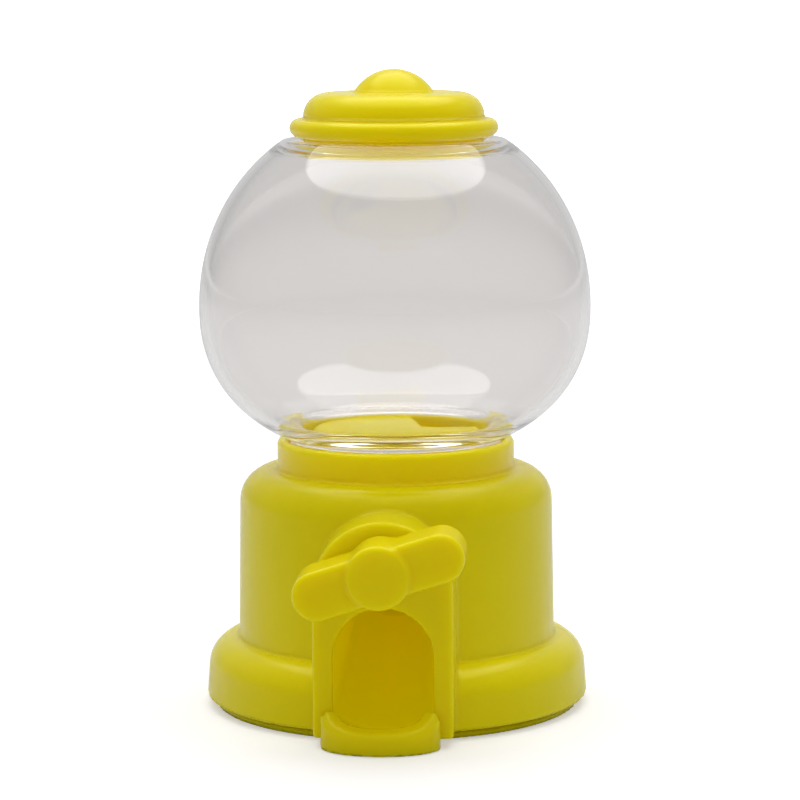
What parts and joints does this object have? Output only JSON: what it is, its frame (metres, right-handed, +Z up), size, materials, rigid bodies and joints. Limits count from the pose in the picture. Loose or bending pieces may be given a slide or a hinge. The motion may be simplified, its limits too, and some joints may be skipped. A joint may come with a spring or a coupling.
{
  "type": "gumball machine",
  "caption": "Small toy gumball machine: lift-off lid, clear globe, round base with an arched chute and tray, and a two-wing knob that turns a metering wheel.",
  "frame": {"origin": "on the machine's upright axis, at the underside of the base plate", "axes": "+Z up; -Y to the front, where the knob and the tray are; +X to the right as seen from the front"},
  "size_m": [0.0522, 0.0626, 0.085],
  "materials": {
    "yellow_plastic": "satin gloss, slightly translucent",
    "clear_plastic": "clear, polished",
    "steel": "plain zinc-plated"
  },
  "bodies": {
    "base": {"housing": "yellow_plastic", "base_plate": "yellow_plastic", "globe": "clear_plastic", "hopper": "yellow_plastic", "chute_slide": "yellow_plastic", "rotor_housing": "yellow_plastic", "rotor_cover": "yellow_plastic", "cover_screw_left": "steel", "cover_screw_right": "steel"},
    "knob": {"knob": "yellow_plastic", "metering_wheel": "yellow_plastic", "washer": "steel", "retaining_screw": "steel"},
    "lid": {"lid": "yellow_plastic"}
  },
  "joints": [
    {"name": "knob_turn", "type": "hinge", "parent": "base", "child": "knob", "pos_m": [0, 0, 0.02355], "axis": [0, -1, 0], "continuous": true},
    {"name": "lid_lift", "type": "slide", "parent": "base", "child": "lid", "axis": [0, 0, 1], "range_m": [0, 0.03]}
  ]
}
